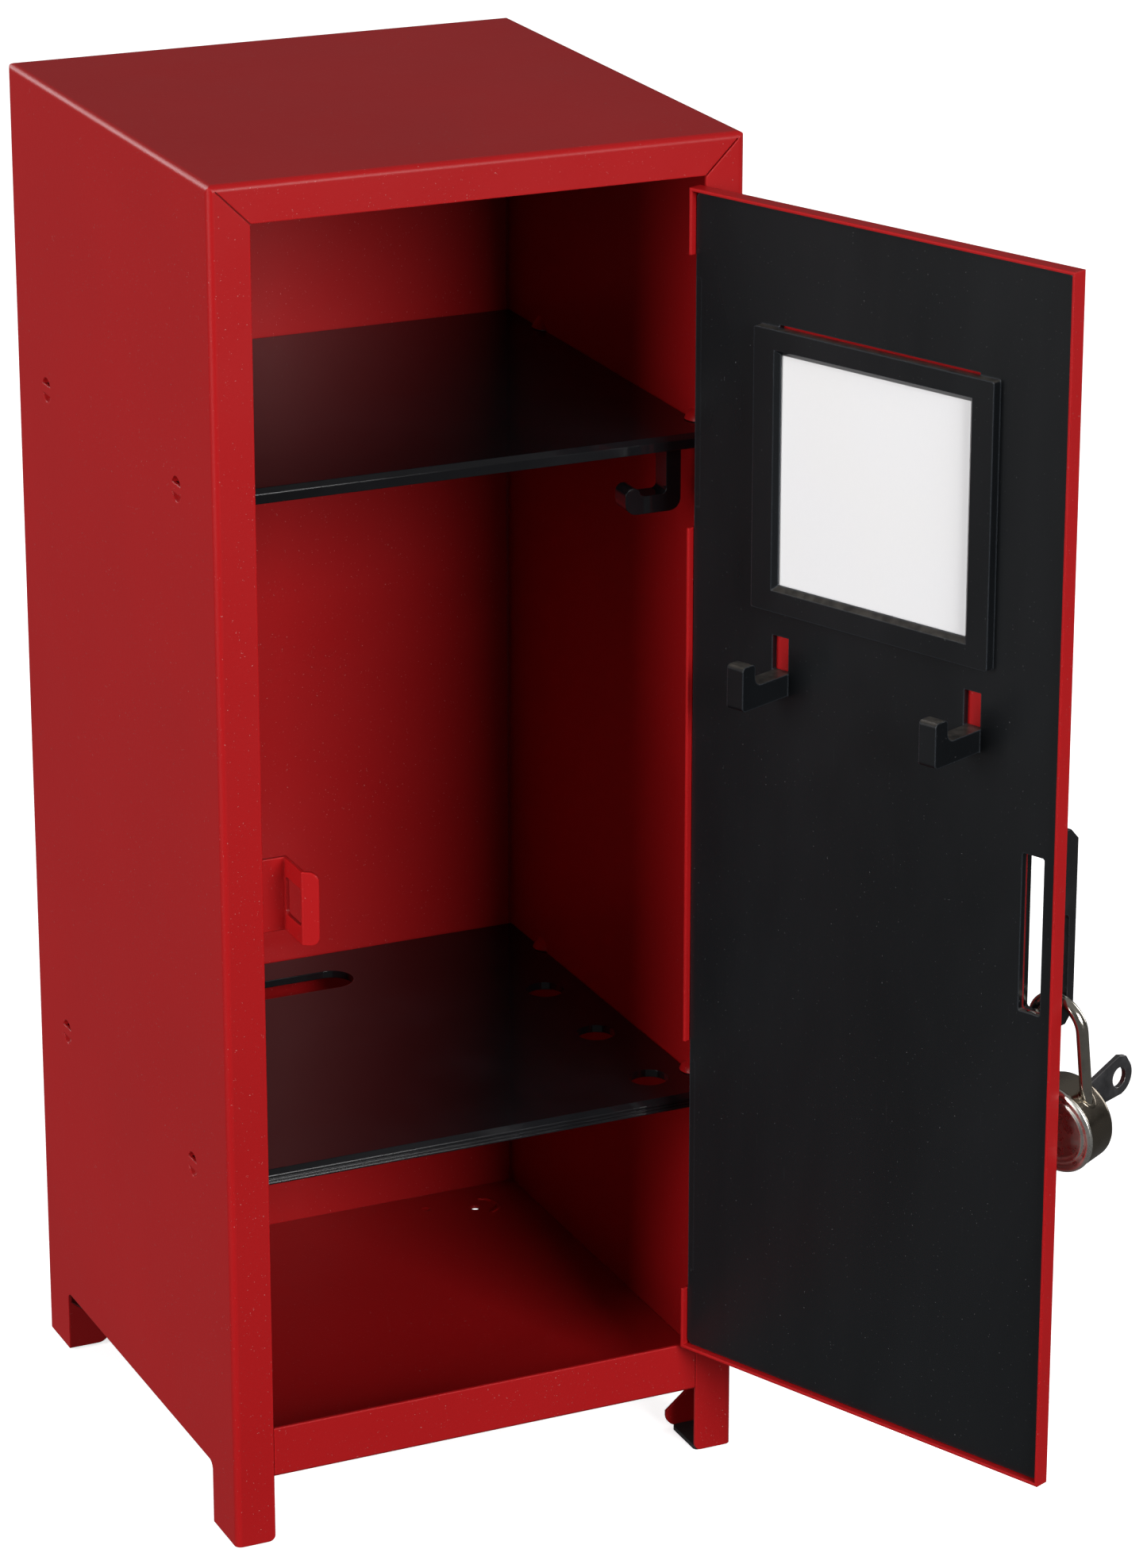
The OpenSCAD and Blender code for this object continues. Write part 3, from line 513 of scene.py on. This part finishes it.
class LockerSizes(bpy.types.PropertyGroup):
    """Sizes of the pieces made here, which repeat the frame's own."""

    door_open: bpy.props.FloatProperty(
        name="Door opening",
        description="How far the door stands open in the frame",
        unit="ROTATION",
        default=math.radians(113.2),
    )
    wire_r: length_prop("Wire radius", "Radius of the shackle's wire", 1.35)
    wire_tip: length_prop("Wire tip", "Radius rolled round the wire's ends", 0.6)
    leg_x: length_prop("Leg offset", "Half the distance between the shackle's legs", 6.4)
    shackle_h: length_prop("Shackle height", "Wire's top above the drum's middle", 29.85)
    long_end: length_prop("Long leg", "Lower end of the shackle's long leg", -4.0)
    short_end: length_prop("Short leg", "Lower end of the shackle's short leg", -1.0)
    drum_r: length_prop("Drum radius", "Outside radius of the lock's drum", 10.15)
    drum_t: length_prop("Drum thickness", "Thickness of the lock's drum", 8.8)
    plug_up: length_prop("Plug height", "Plug's axis above the drum's middle", 2.4)
    plug_r: length_prop("Plug radius", "Radius of the plug", 3.2)
    card_t: length_prop("Card thickness", "Thickness of the picture card", 0.3)
    card_bow: length_prop("Card bow", "How far the card bows in its pocket", 0.12)


# ---- pieces ----


class LOCKER_OT_sheet_metal(bpy.types.Operator):
    """Enamels the cabinet, the door's skin, the hinges' leaves and the striker"""

    bl_idname = "locker.sheet_metal"
    bl_label = "Sheet metal"

    def execute(self, context):
        red = enamel("red_enamel", context.scene.locker_finishes.enamel)
        finish_nodes(red, "cabinet_shell", "back_panel", "floor_panel", "striker")
        finish_nodes(red, "door_skin", "frame_hinge_leaves", "door_hinge_leaves")
        steel = turned_metal("pin_steel", context.scene.locker_finishes.steel)
        finish_nodes(steel, "hinge_pins", "handle_retainers")
        return {"FINISHED"}


class LOCKER_OT_shelves(bpy.types.Operator):
    """Gives the shelves and the hook under the upper one their gloss"""

    bl_idname = "locker.shelves"
    bl_label = "Shelves"

    def execute(self, context):
        gloss = shelf_plastic("shelf_gloss", context.scene.locker_finishes.shelf)
        finish_nodes(gloss, "upper_shelf", "lower_shelf", "coat_hook")
        return {"FINISHED"}


class LOCKER_OT_feet(bpy.types.Operator):
    """Makes the foot pads of rubber"""

    bl_idname = "locker.feet"
    bl_label = "Foot pads"

    def execute(self, context):
        rubber = foot_rubber("foot_rubber", context.scene.locker_finishes.rubber)
        finish_nodes(rubber, "foot_pads")
        return {"FINISHED"}


class LOCKER_OT_door_mouldings(bpy.types.Operator):
    """Finishes the door's liner and its handle"""

    bl_idname = "locker.door_mouldings"
    bl_label = "Door mouldings"

    def execute(self, context):
        finishes = context.scene.locker_finishes
        finish_nodes(liner_plastic("liner_satin", finishes.liner), "door_liner")
        finish_nodes(handle_plastic("handle_half_gloss", finishes.handle), "handle")
        return {"FINISHED"}


BOW_PEAK = 0.45  # where the card bows most, as a part of its height
BOW_ACROSS = 0.6  # part of a half wave that the card's width takes up


def card_surface(sizes):
    """A sheet on a grid, bowed out of the pocket's middle plane by a cosine up its height,
    greatest a little below the middle, times a flatter cosine across it; and a second sheet
    a thickness behind it."""
    low, high = (np.array(corner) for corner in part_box("picture_card"))
    pin = np.array(joint("door_swing")["pos_m"])
    run, face = (way[:2] for way in door_axes(sizes))
    middle = (low[:2] + high[:2]) / 2 - pin[:2]
    # the box of the turned card gives back its width
    width = np.linalg.solve(np.abs(np.stack([run, face], axis=1)), (high - low)[:2])[0]
    centre_run, centre_out = middle @ run, middle @ face
    u = np.linspace(-0.5, 0.5, 25)[None, :]
    v = np.linspace(0, 1, 41)[:, None]
    along = centre_run + u * width + 0 * v
    height = low[2] + v * (high[2] - low[2]) + 0 * u
    bow = sizes.card_bow * np.cos(math.pi * (v - BOW_PEAK)) * np.cos(math.pi * u * BOW_ACROSS)
    front = door_points(along, centre_out - sizes.card_t / 2 - bow, height, sizes)
    back = door_points(along, centre_out + sizes.card_t / 2 - bow, height, sizes)
    return front, back


def sandwich_mesh(name, front, back):
    """Two grids of the same size joined round their rims into one closed sheet."""
    rows, cols = front.shape[:2]
    count = rows * cols
    i, j = np.arange(rows - 1)[:, None], np.arange(cols - 1)[None, :]
    a = (i * cols + j).ravel()
    quads = np.stack([a, a + 1, a + cols + 1, a + cols], axis=1)
    rim = np.concatenate(
        [
            np.arange(cols - 1),
            np.arange(rows - 1) * cols + cols - 1,
            (rows - 1) * cols + np.arange(cols - 1, 0, -1),
            np.arange(rows - 1, 0, -1) * cols,
        ]
    )
    following = np.roll(rim, -1)
    walls = np.stack([following, rim, rim + count, following + count], axis=1)
    faces = np.concatenate([quads, quads[:, ::-1] + count, walls]).tolist()
    mesh = bpy.data.meshes.new(name)
    mesh.from_pydata(np.concatenate([front, back]).reshape(-1, 3).tolist(), [], faces)
    mesh.validate()
    mesh.update()
    return mesh


class LOCKER_OT_picture_card(bpy.types.Operator):
    """Makes the blank card that stands in the picture pocket"""

    bl_idname = "locker.picture_card"
    bl_label = "Picture card"

    def execute(self, context):
        sizes = context.scene.locker_sizes
        paper = card_stock("card_stock", context.scene.locker_finishes.card)
        mesh = sandwich_mesh("bowed_card", *card_surface(sizes))
        piece("bowed_card", mesh, "card", paper, ["picture_card"])
        return {"FINISHED"}


TIP_RINGS = 6
LEG_STEPS = 9
SHOULDER = 0.02 * MM  # between the two rings of a cut's shoulder
ABOVE_CUT = 1.0 * MM  # from a cut to the first of the leg's even rings
CUT = slice(TIP_RINGS + 1, TIP_RINGS + 3)  # a leg's two rings inside its cut
GROOVE = np.array([0.8, 1.6]) * MM  # above the long leg's end
GROOVE_DEPTH = 0.35 * MM
NOTCH = np.array([-1.3, 1.3]) * MM  # about the plug's height
NOTCH_DEPTH = 0.95 * MM


def leg_rings(end, cut, top, sizes):
    """Heights of a leg's rings, from its end up: a quarter circle's tip, the two rings at
    each shoulder of the cut, which stand a hair apart, and even steps up to the bend."""
    tip = end + sizes.wire_tip * (1 - np.cos(np.linspace(0, math.pi / 2, TIP_RINGS)))
    low, high = cut
    steps = np.array([low - SHOULDER, low, high, high + SHOULDER])
    return np.concatenate([tip, steps, np.linspace(high + ABOVE_CUT, top, LEG_STEPS)])


def shackle_surface(sizes, sides=48):
    """A circle carried along a U: up the long leg, round a half circle and down the short
    leg. Its radius follows a quarter circle at both tips and drops at the turned groove; the
    bolt's notch is a flat, where no point of the short leg may pass a plane."""
    top = sizes.shackle_h - sizes.leg_x
    right = leg_rings(sizes.long_end, GROOVE + sizes.long_end, top, sizes)
    left = leg_rings(sizes.short_end, NOTCH + sizes.plug_up, top, sizes)
    leg = len(right)
    bend = np.linspace(0, math.pi, 49)[1:-1]
    x = np.concatenate(
        [np.full(leg, sizes.leg_x), sizes.leg_x * np.cos(bend), np.full(leg, -sizes.leg_x)]
    )
    z = np.concatenate([right, top + sizes.leg_x * np.sin(bend), left[::-1]])
    ease = np.sin(np.linspace(0, math.pi / 2, TIP_RINGS))
    radius = np.full(len(x), sizes.wire_r)
    radius[:TIP_RINGS] -= sizes.wire_tip * (1 - ease)
    radius[-TIP_RINGS:] -= sizes.wire_tip * (1 - ease[::-1])
    radius[CUT] -= GROOVE_DEPTH
    # the way across the wire in its own plane turns only round the bend
    heading = np.concatenate([np.zeros(leg), bend, np.full(leg, math.pi)])
    around = np.linspace(0, 2 * math.pi, sides, endpoint=False)[None, :]
    across = radius[:, None] * np.cos(around)
    x = x[:, None] + across * np.cos(heading)[:, None]
    short_leg = x[::-1]
    short_leg[CUT] = np.minimum(short_leg[CUT], -sizes.leg_x + sizes.wire_r - NOTCH_DEPTH)
    return np.stack(
        [x, radius[:, None] * np.sin(around), z[:, None] + across * np.sin(heading)[:, None]],
        axis=-1,
    )


class LOCKER_OT_shackle(bpy.types.Operator):
    """Makes the padlock's shackle as one smooth bent wire"""

    bl_idname = "locker.shackle"
    bl_label = "Shackle"

    def execute(self, context):
        sizes = context.scene.locker_sizes
        plate = bright_plate("shackle_plate", context.scene.locker_finishes.wire, 0.1)
        points = lock_points(shackle_surface(sizes), sizes.shackle_h)
        mesh = grid_mesh("shackle_wire", points, wrap_v=True, cap_start=True, cap_end=True)
        piece("shackle_wire", mesh, "shackle", plate, ["shackle"], 60)
        return {"FINISHED"}


FACE_HOLE = 4.2 * MM  # in from the drum's edge to where its face starts to blend
OPEN_SIDE = 1.2 * MM  # from the rim's side back to the cup's edge
CASE_ROUND = 1.5 * MM
CASE_WALL = 0.25 * MM
LIP_IN = 0.55 * MM
LIP_DEEP = 1.0 * MM
PLUG_PLAY = 0.1 * MM
THROAT = 1.4 * MM  # how far the cup turns in round the plug
DISH = 0.12 * MM
RIM_ROUND = 0.22 * MM
COLLAR_PLAY = 0.32 * MM
COLLAR_R = 0.3 * MM


def case_surface(sizes, sides=96):
    """The drum's cup: a profile turned about its axis, whose innermost ring is moved up and
    sized to the plug, with every ring of the face blended between it and the outer round."""
    r, half = sizes.drum_r, sizes.drum_t / 2
    open_side = half - OPEN_SIDE
    corners = [[r - FACE_HOLE, -half], [r, -half], [r, open_side]]
    outline = rounded_profile(corners, CASE_ROUND, 9)
    lip = np.array([[r - LIP_IN, open_side], [r - LIP_IN, open_side - LIP_DEEP]])
    rings = turned(np.concatenate([outline, lip]), sides)
    angle = np.linspace(0, 2 * math.pi, sides, endpoint=False)
    bore = sizes.plug_r + PLUG_PLAY
    mouth = np.stack(
        [bore * np.cos(angle), np.full(sides, -half), sizes.plug_up + bore * np.sin(angle)],
        axis=-1,
    )
    throat = mouth + np.array([0, THROAT, 0])
    t = np.linspace(0, 1, 10)[:, None, None]
    face = mouth * (1 - t) + rings[0] * t
    # a shallow dish in the face, deepest half way out
    face[..., 1] += DISH * np.sin(math.pi * t[..., 0]) ** 2
    return np.concatenate([throat[None], face[:-1], rings])


def rim_profile(sizes):
    """The stepped bright rim round the side that faces the door, and its sunk middle, from
    near the axis outwards. Its steps are in mm from the drum's outer radius and its edge."""
    middle, sunk = 0.02 * MM, 0.85
    steps = [
        [-3.4, -sunk],  # foot of the inner ridge
        [-3.1, -0.35],
        [-2.75, -0.06],
        [-2.3, -0.06],
        [-2.0, -0.38],  # the trough between the ridges
        [-1.5, -0.38],
        [-1.15, 0.0],
        [-0.5, 0.0],
        [0.12, -0.45],  # over the drum's edge and tucked under
        [0.14, -1.0],
        [-0.4, -1.25],
    ]
    corners = np.array([sizes.drum_r, sizes.drum_t / 2]) + np.array(steps) * MM
    centre = [[middle, sizes.drum_t / 2 - sunk * MM]]
    return rounded_profile(np.concatenate([centre, corners]), RIM_ROUND, 4)


def collar_surface(x, base, sizes, sides=16):
    """A small torus, pressed to seven tenths of its height, round a shackle leg where it
    enters the drum, laid on the drum's round wall: each point drops with the wall's circle."""
    ring = np.linspace(0, 2 * math.pi, 48, endpoint=False)[:, None]
    tube = np.linspace(0, 2 * math.pi, sides, endpoint=False)[None, :]
    inner = sizes.wire_r + COLLAR_PLAY
    across = (inner + COLLAR_R * np.cos(tube)) * np.cos(ring)
    deep = (inner + COLLAR_R * np.cos(tube)) * np.sin(ring)
    wall = np.sqrt(np.maximum(base**2 - (x + across) ** 2, 0.0))
    return np.stack([x + across, deep, wall + COLLAR_R * 0.7 * np.sin(tube)], axis=-1)


class LOCKER_OT_padlock_case(bpy.types.Operator):
    """Makes the padlock's cup, its stepped rim and the collars round the legs"""

    bl_idname = "locker.padlock_case"
    bl_label = "Padlock case"

    def execute(self, context):
        sizes = context.scene.locker_sizes
        finishes = context.scene.locker_finishes
        plate = bright_plate("case_plate", finishes.drum, 0.15)
        bright = bright_plate("rim_plate", finishes.rim, 0.22)
        drop = sizes.shackle_h
        cup = grid_mesh("lock_cup", lock_points(case_surface(sizes), drop), wrap_v=True)
        made = piece("lock_cup", cup, "lock_body", plate, ["padlock_shell"], 40)
        wall = made.modifiers.new("wall", "SOLIDIFY")
        wall.thickness = CASE_WALL
        wall.offset = -1
        rim = lock_points(turned(rim_profile(sizes), 96), drop)
        mesh = grid_mesh("lock_rim", rim, wrap_v=True, cap_start=True, cap_end=True)
        replaced = ["padlock_rim", "padlock_disc"]
        piece("lock_rim", mesh, "lock_body", bright, replaced, 40)
        for side, x in (("long", sizes.leg_x), ("short", -sizes.leg_x)):
            ring = lock_points(collar_surface(x, sizes.drum_r, sizes), drop)
            mesh = grid_mesh(f"{side}_leg_collar", ring, wrap_u=True, wrap_v=True)
            piece(f"{side}_leg_collar", mesh, "lock_body", plate)
        return {"FINISHED"}


class LOCKER_OT_lock_works(bpy.types.Operator):
    """Finishes the plug, wafers, bolt, spring and core inside the padlock, and its key"""

    bl_idname = "locker.lock_works"
    bl_label = "Lock works and key"

    def execute(self, context):
        finishes = context.scene.locker_finishes
        brass = turned_metal("plug_brass", finishes.brass, 0.24)
        finish_nodes(brass, "lock_plug", "lock_wafers")
        steel = turned_metal("works_steel", finishes.steel)
        finish_nodes(steel, "padlock_core", "lock_bolt", "bolt_spring")
        finish_nodes(gunmetal("key_gunmetal", finishes.key), "key")
        return {"FINISHED"}


# ---- stage ----

CAMERA_AT = Vector((-0.3845, -1.0238, 0.5804))
CAMERA_AIM = Vector((0.4167, 0.8472, -0.3296))
CAMERA_ROLL = math.radians(0.62)
LENS_MM = 125.1
LENS_SHIFT = (-0.1017, -0.0588)
SENSOR_MM = 36.0
FLOOR_HALF = 9.0
FLOOR_DROP = 0.2 * MM
LIT_POINT = (0.06, 0.03, 0.16)
# name, place, width and height, watts
SOFT_BOXES = (
    ("side_box", (-1.7, -0.35, 0.55), (0.9, 1.2), 26),
    ("front_box", (0.35, -1.8, 0.78), (0.8, 0.8), 30),
    ("right_box", (1.5, 0.1, 0.6), (0.5, 1.0), 6),
    ("back_box", (-0.8, 1.8, 0.9), (0.8, 0.8), 10),
)


def soft_box(name, place, size, watts):
    """A rectangular soft light at a place, turned to the lit point."""
    data = bpy.data.lights.new(name, "AREA")
    data.shape = "RECTANGLE"
    data.size, data.size_y = size
    data.energy = watts
    lamp = bpy.data.objects.new(name, data)
    bpy.context.scene.collection.objects.link(lamp)
    lamp.location = place
    lamp.rotation_mode = "QUATERNION"
    lamp.rotation_quaternion = (Vector(LIT_POINT) - Vector(place)).to_track_quat("-Z", "Y")


def sky(below, level, zenith, ramp_top=0.8):
    """Plain grey surroundings: one shade below, and above the horizon a ramp that reaches
    the zenith's shade where a ray's rise is ramp_top of its length."""
    world = bpy.data.worlds.new("studio_air")
    bpy.context.scene.world = world
    world.use_nodes = True
    nodes, links = world.node_tree.nodes, world.node_tree.links
    back = nodes["Background"]
    way = nodes.new("ShaderNodeTexCoord").outputs["Generated"]
    split = nodes.new("ShaderNodeSeparateXYZ")
    ramp = nodes.new("ShaderNodeMapRange")
    links.new(way, split.inputs[0])
    links.new(split.outputs["Z"], ramp.inputs["Value"])
    ramp.inputs["From Min"].default_value = 0.0
    ramp.inputs["From Max"].default_value = ramp_top
    ramp.inputs["To Min"].default_value = level - below
    ramp.inputs["To Max"].default_value = zenith - below
    above = nodes.new("ShaderNodeMath")
    above.operation = "GREATER_THAN"
    above.inputs[1].default_value = 0.0
    links.new(split.outputs["Z"], above.inputs[0])
    total = nodes.new("ShaderNodeMath")
    total.operation = "MULTIPLY_ADD"
    total.inputs[2].default_value = below
    links.new(above.outputs["Value"], total.inputs[0])
    links.new(ramp.outputs["Result"], total.inputs[1])
    links.new(total.outputs["Value"], back.inputs["Strength"])
    back.inputs["Color"].default_value = (1, 1, 1, 1)


class LOCKER_OT_stage(bpy.types.Operator):
    """Sets the floor, the lights, the surroundings and the camera"""

    bl_idname = "locker.stage"
    bl_label = "Stage"

    def execute(self, context):
        paper = studio_floor("seamless_paper", context.scene.locker_finishes.floor)
        span = np.linspace(-1, 1, 9) * FLOOR_HALF
        x, y = np.meshgrid(span, span)
        points = np.stack([x, y, np.full_like(x, -FLOOR_DROP)], axis=-1)
        mesh = grid_mesh("studio_floor", points)
        floor = bpy.data.objects.new("studio_floor", mesh)
        mesh.materials.append(paper)
        context.scene.collection.objects.link(floor)
        # the paper throws no light or mirror image back onto the locker
        floor.visible_diffuse = False
        floor.visible_glossy = False
        for box in SOFT_BOXES:
            soft_box(*box)
        sky(below=0.1, level=0.05, zenith=0.22)
        data = bpy.data.cameras.new("view_camera")
        camera = bpy.data.objects.new("view_camera", data)
        context.scene.collection.objects.link(camera)
        data.lens = LENS_MM
        data.sensor_width = SENSOR_MM
        data.shift_x, data.shift_y = LENS_SHIFT
        data.clip_start, data.clip_end = 0.01, 60.0
        camera.location = CAMERA_AT
        camera.rotation_mode = "QUATERNION"
        level = CAMERA_AIM.normalized().to_track_quat("-Z", "Y")
        camera.rotation_quaternion = level @ Quaternion((0, 0, 1), CAMERA_ROLL)
        context.scene.camera = camera
        context.scene.view_settings.view_transform = "Standard"
        return {"FINISHED"}


class LOCKER_PT_panel(bpy.types.Panel):
    """Lists the locker's finishes, sizes and pieces"""

    bl_idname = "LOCKER_PT_panel"
    bl_label = "Locker"
    bl_space_type = "VIEW_3D"
    bl_region_type = "UI"
    bl_category = "Locker"

    def draw(self, context):
        for group in (context.scene.locker_finishes, context.scene.locker_sizes):
            box = self.layout.box()
            for name in group.__annotations__:
                box.prop(group, name)
        for operator in OPERATORS:
            self.layout.operator(operator.bl_idname)


OPERATORS = (
    LOCKER_OT_sheet_metal,
    LOCKER_OT_shelves,
    LOCKER_OT_feet,
    LOCKER_OT_door_mouldings,
    LOCKER_OT_picture_card,
    LOCKER_OT_shackle,
    LOCKER_OT_padlock_case,
    LOCKER_OT_lock_works,
    LOCKER_OT_stage,
)
CLASSES = (LockerFinishes, LockerSizes, *OPERATORS, LOCKER_PT_panel)


def register():
    """Adds the classes and the scene's two groups of properties."""
    for cls in CLASSES:
        bpy.utils.register_class(cls)
    bpy.types.Scene.locker_finishes = bpy.props.PointerProperty(type=LockerFinishes)
    bpy.types.Scene.locker_sizes = bpy.props.PointerProperty(type=LockerSizes)


def unregister():
    """Takes them away again."""
    del bpy.types.Scene.locker_sizes
    del bpy.types.Scene.locker_finishes
    for cls in reversed(CLASSES):
        bpy.utils.unregister_class(cls)


def main():
    """Registers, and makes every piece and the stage."""
    register()
    bpy.ops.locker.sheet_metal()
    bpy.ops.locker.shelves()
    bpy.ops.locker.feet()
    bpy.ops.locker.door_mouldings()
    bpy.ops.locker.picture_card()
    bpy.ops.locker.shackle()
    bpy.ops.locker.padlock_case()
    bpy.ops.locker.lock_works()
    bpy.ops.locker.stage()


if __name__ == "__main__":
    main()
